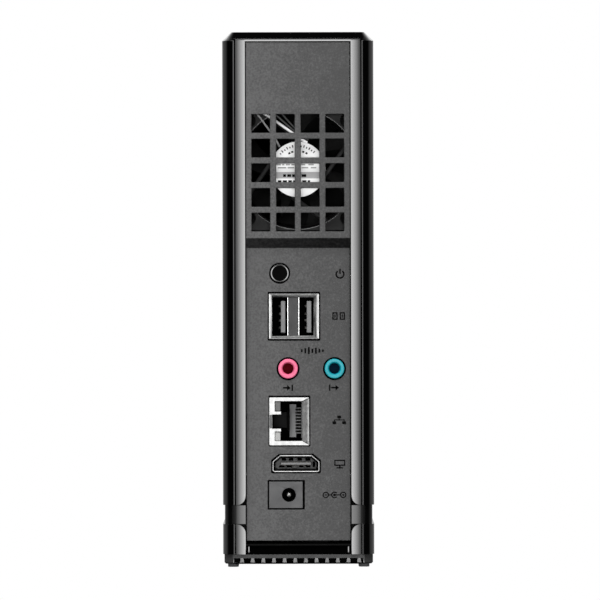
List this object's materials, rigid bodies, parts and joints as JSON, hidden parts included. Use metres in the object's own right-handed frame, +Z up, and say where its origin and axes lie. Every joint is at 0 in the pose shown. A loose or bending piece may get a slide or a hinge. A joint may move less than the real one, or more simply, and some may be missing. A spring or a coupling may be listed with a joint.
{
  "type": "network video recorder",
  "caption": "Slim upright network video recorder: glossy lift-off sleeve over a disk frame, rear socket panel with vent grid, fan and push button, slotted base on feet.",
  "frame": {"origin": "centre of the footprint, at the bottom of the rubber feet", "axes": "+Z up; -Y is the front with the status lights, +Y is the rear with the sockets; +X is to the right seen from the front"},
  "size_m": [0.0494, 0.137, 0.175],
  "materials": {
    "cover_gloss": "gloss black moulding",
    "trim_gloss": "gloss black moulding",
    "shell_gloss": "gloss black moulding",
    "frame_black": "satin to gloss black moulding",
    "base_black": "fine textured black",
    "foot_rubber": "matt black rubber",
    "panel_grey": "dark grey, fine grain",
    "screw_steel": "zinc plated",
    "bracket_steel": "zinc plated sheet",
    "board_green": "solder mask",
    "chip_black": "moulded package",
    "sink_aluminium": "anodised",
    "coil_grey": "ferrite block",
    "can_aluminium": "sleeved can",
    "holder_black": "matt",
    "cell_steel": "bright",
    "socket_metal": "tin plated",
    "insert_grey": "matt",
    "insert_black": "matt",
    "contact_gold": "gold plated",
    "jack_pink": "satin",
    "jack_teal": "satin",
    "inlet_grey": "matt",
    "lens_clear": "translucent",
    "button_gloss": "gloss black",
    "fan_plastic": "dark grey moulding",
    "rotor_plastic": "satin black",
    "label_white": "printed paper disc",
    "bronze": "sintered",
    "magnet": "ferrite",
    "copper": "wound coil",
    "wire_black": "sleeved wires",
    "cast_aluminium": "as cast",
    "disc_aluminium": "mirror disc",
    "window_smoked": "smoked clear",
    "steel_bright": "ground",
    "led_white": "translucent"
  },
  "bodies": {
    "chassis": {"lower_shell": "shell_gloss", "base_plate": "base_black", "rubber_feet": "foot_rubber", "base_screws": "screw_steel", "inner_frame": "frame_black", "rear_panel": "panel_grey", "panel_screws": "screw_steel", "main_board": "board_green", "board_screws": "screw_steel", "soc_chip": "chip_black", "soc_heatsink": "sink_aluminium", "board_chips": "chip_black", "inductors": "coil_grey", "capacitors": "can_aluminium", "battery_holder": "holder_black", "rtc_battery": "cell_steel", "power_switch": "holder_black", "usb_shell": "socket_metal", "usb_insulator": "insert_grey", "usb_contacts": "contact_gold", "audio_block": "insert_black", "audio_in_barrel": "jack_pink", "audio_out_barrel": "jack_teal", "lan_shield": "socket_metal", "lan_housing": "insert_black", "lan_contacts": "contact_gold", "lan_led_lenses": "lens_clear", "hdmi_shell": "socket_metal", "hdmi_tongue": "insert_black", "hdmi_contacts": "contact_gold", "dc_jack_body": "inlet_grey", "dc_jack_pin": "steel_bright", "fan_frame": "fan_plastic", "fan_label": "label_white", "fan_bearing": "bronze", "fan_stator": "copper", "fan_screws": "screw_steel", "fan_cable": "wire_black", "drive_casting": "cast_aluminium", "drive_lid": "bracket_steel", "drive_board": "board_green", "drive_plug": "insert_black", "drive_bracket_front": "bracket_steel", "drive_bracket_rear": "bracket_steel", "drive_screws": "screw_steel", "backplane_board": "board_green", "drive_socket": "insert_black", "link_header": "insert_black", "led_board": "board_green", "status_leds": "led_white", "light_pipes": "lens_clear"},
    "cover": {"upper_cover": "cover_gloss", "rear_trim": "trim_gloss", "status_window": "window_smoked"},
    "button": {"power_button": "button_gloss"},
    "fan_wheel": {"fan_rotor": "rotor_plastic", "fan_magnet": "magnet", "fan_shaft": "steel_bright"},
    "disk_stack": {"drive_platters": "disc_aluminium"},
    "disk_arm": {"head_arm": "cast_aluminium"}
  },
  "joints": [
    {"name": "cover_lift", "type": "slide", "parent": "chassis", "child": "cover", "axis": [0, 0, 1], "range_m": [0, 0.156]},
    {"name": "button_press", "type": "slide", "parent": "chassis", "child": "button", "axis": [0, -1, 0], "range_m": [0, 0.0008], "stiffness_N_per_m": 500, "springref_m": -0.0006},
    {"name": "fan_spin", "type": "hinge", "parent": "chassis", "child": "fan_wheel", "pos_m": [0, 0.0587, 0.1301], "axis": [0, 1, 0], "continuous": true},
    {"name": "disk_spin", "type": "hinge", "parent": "chassis", "child": "disk_stack", "pos_m": [-0.006, -0.0087, 0.1117], "axis": [1, 0, 0], "continuous": true},
    {"name": "arm_swing", "type": "hinge", "parent": "chassis", "child": "disk_arm", "pos_m": [-0.006, 0.018, 0.06], "axis": [-1, 0, 0], "range_deg": [0, 37]}
  ]
}
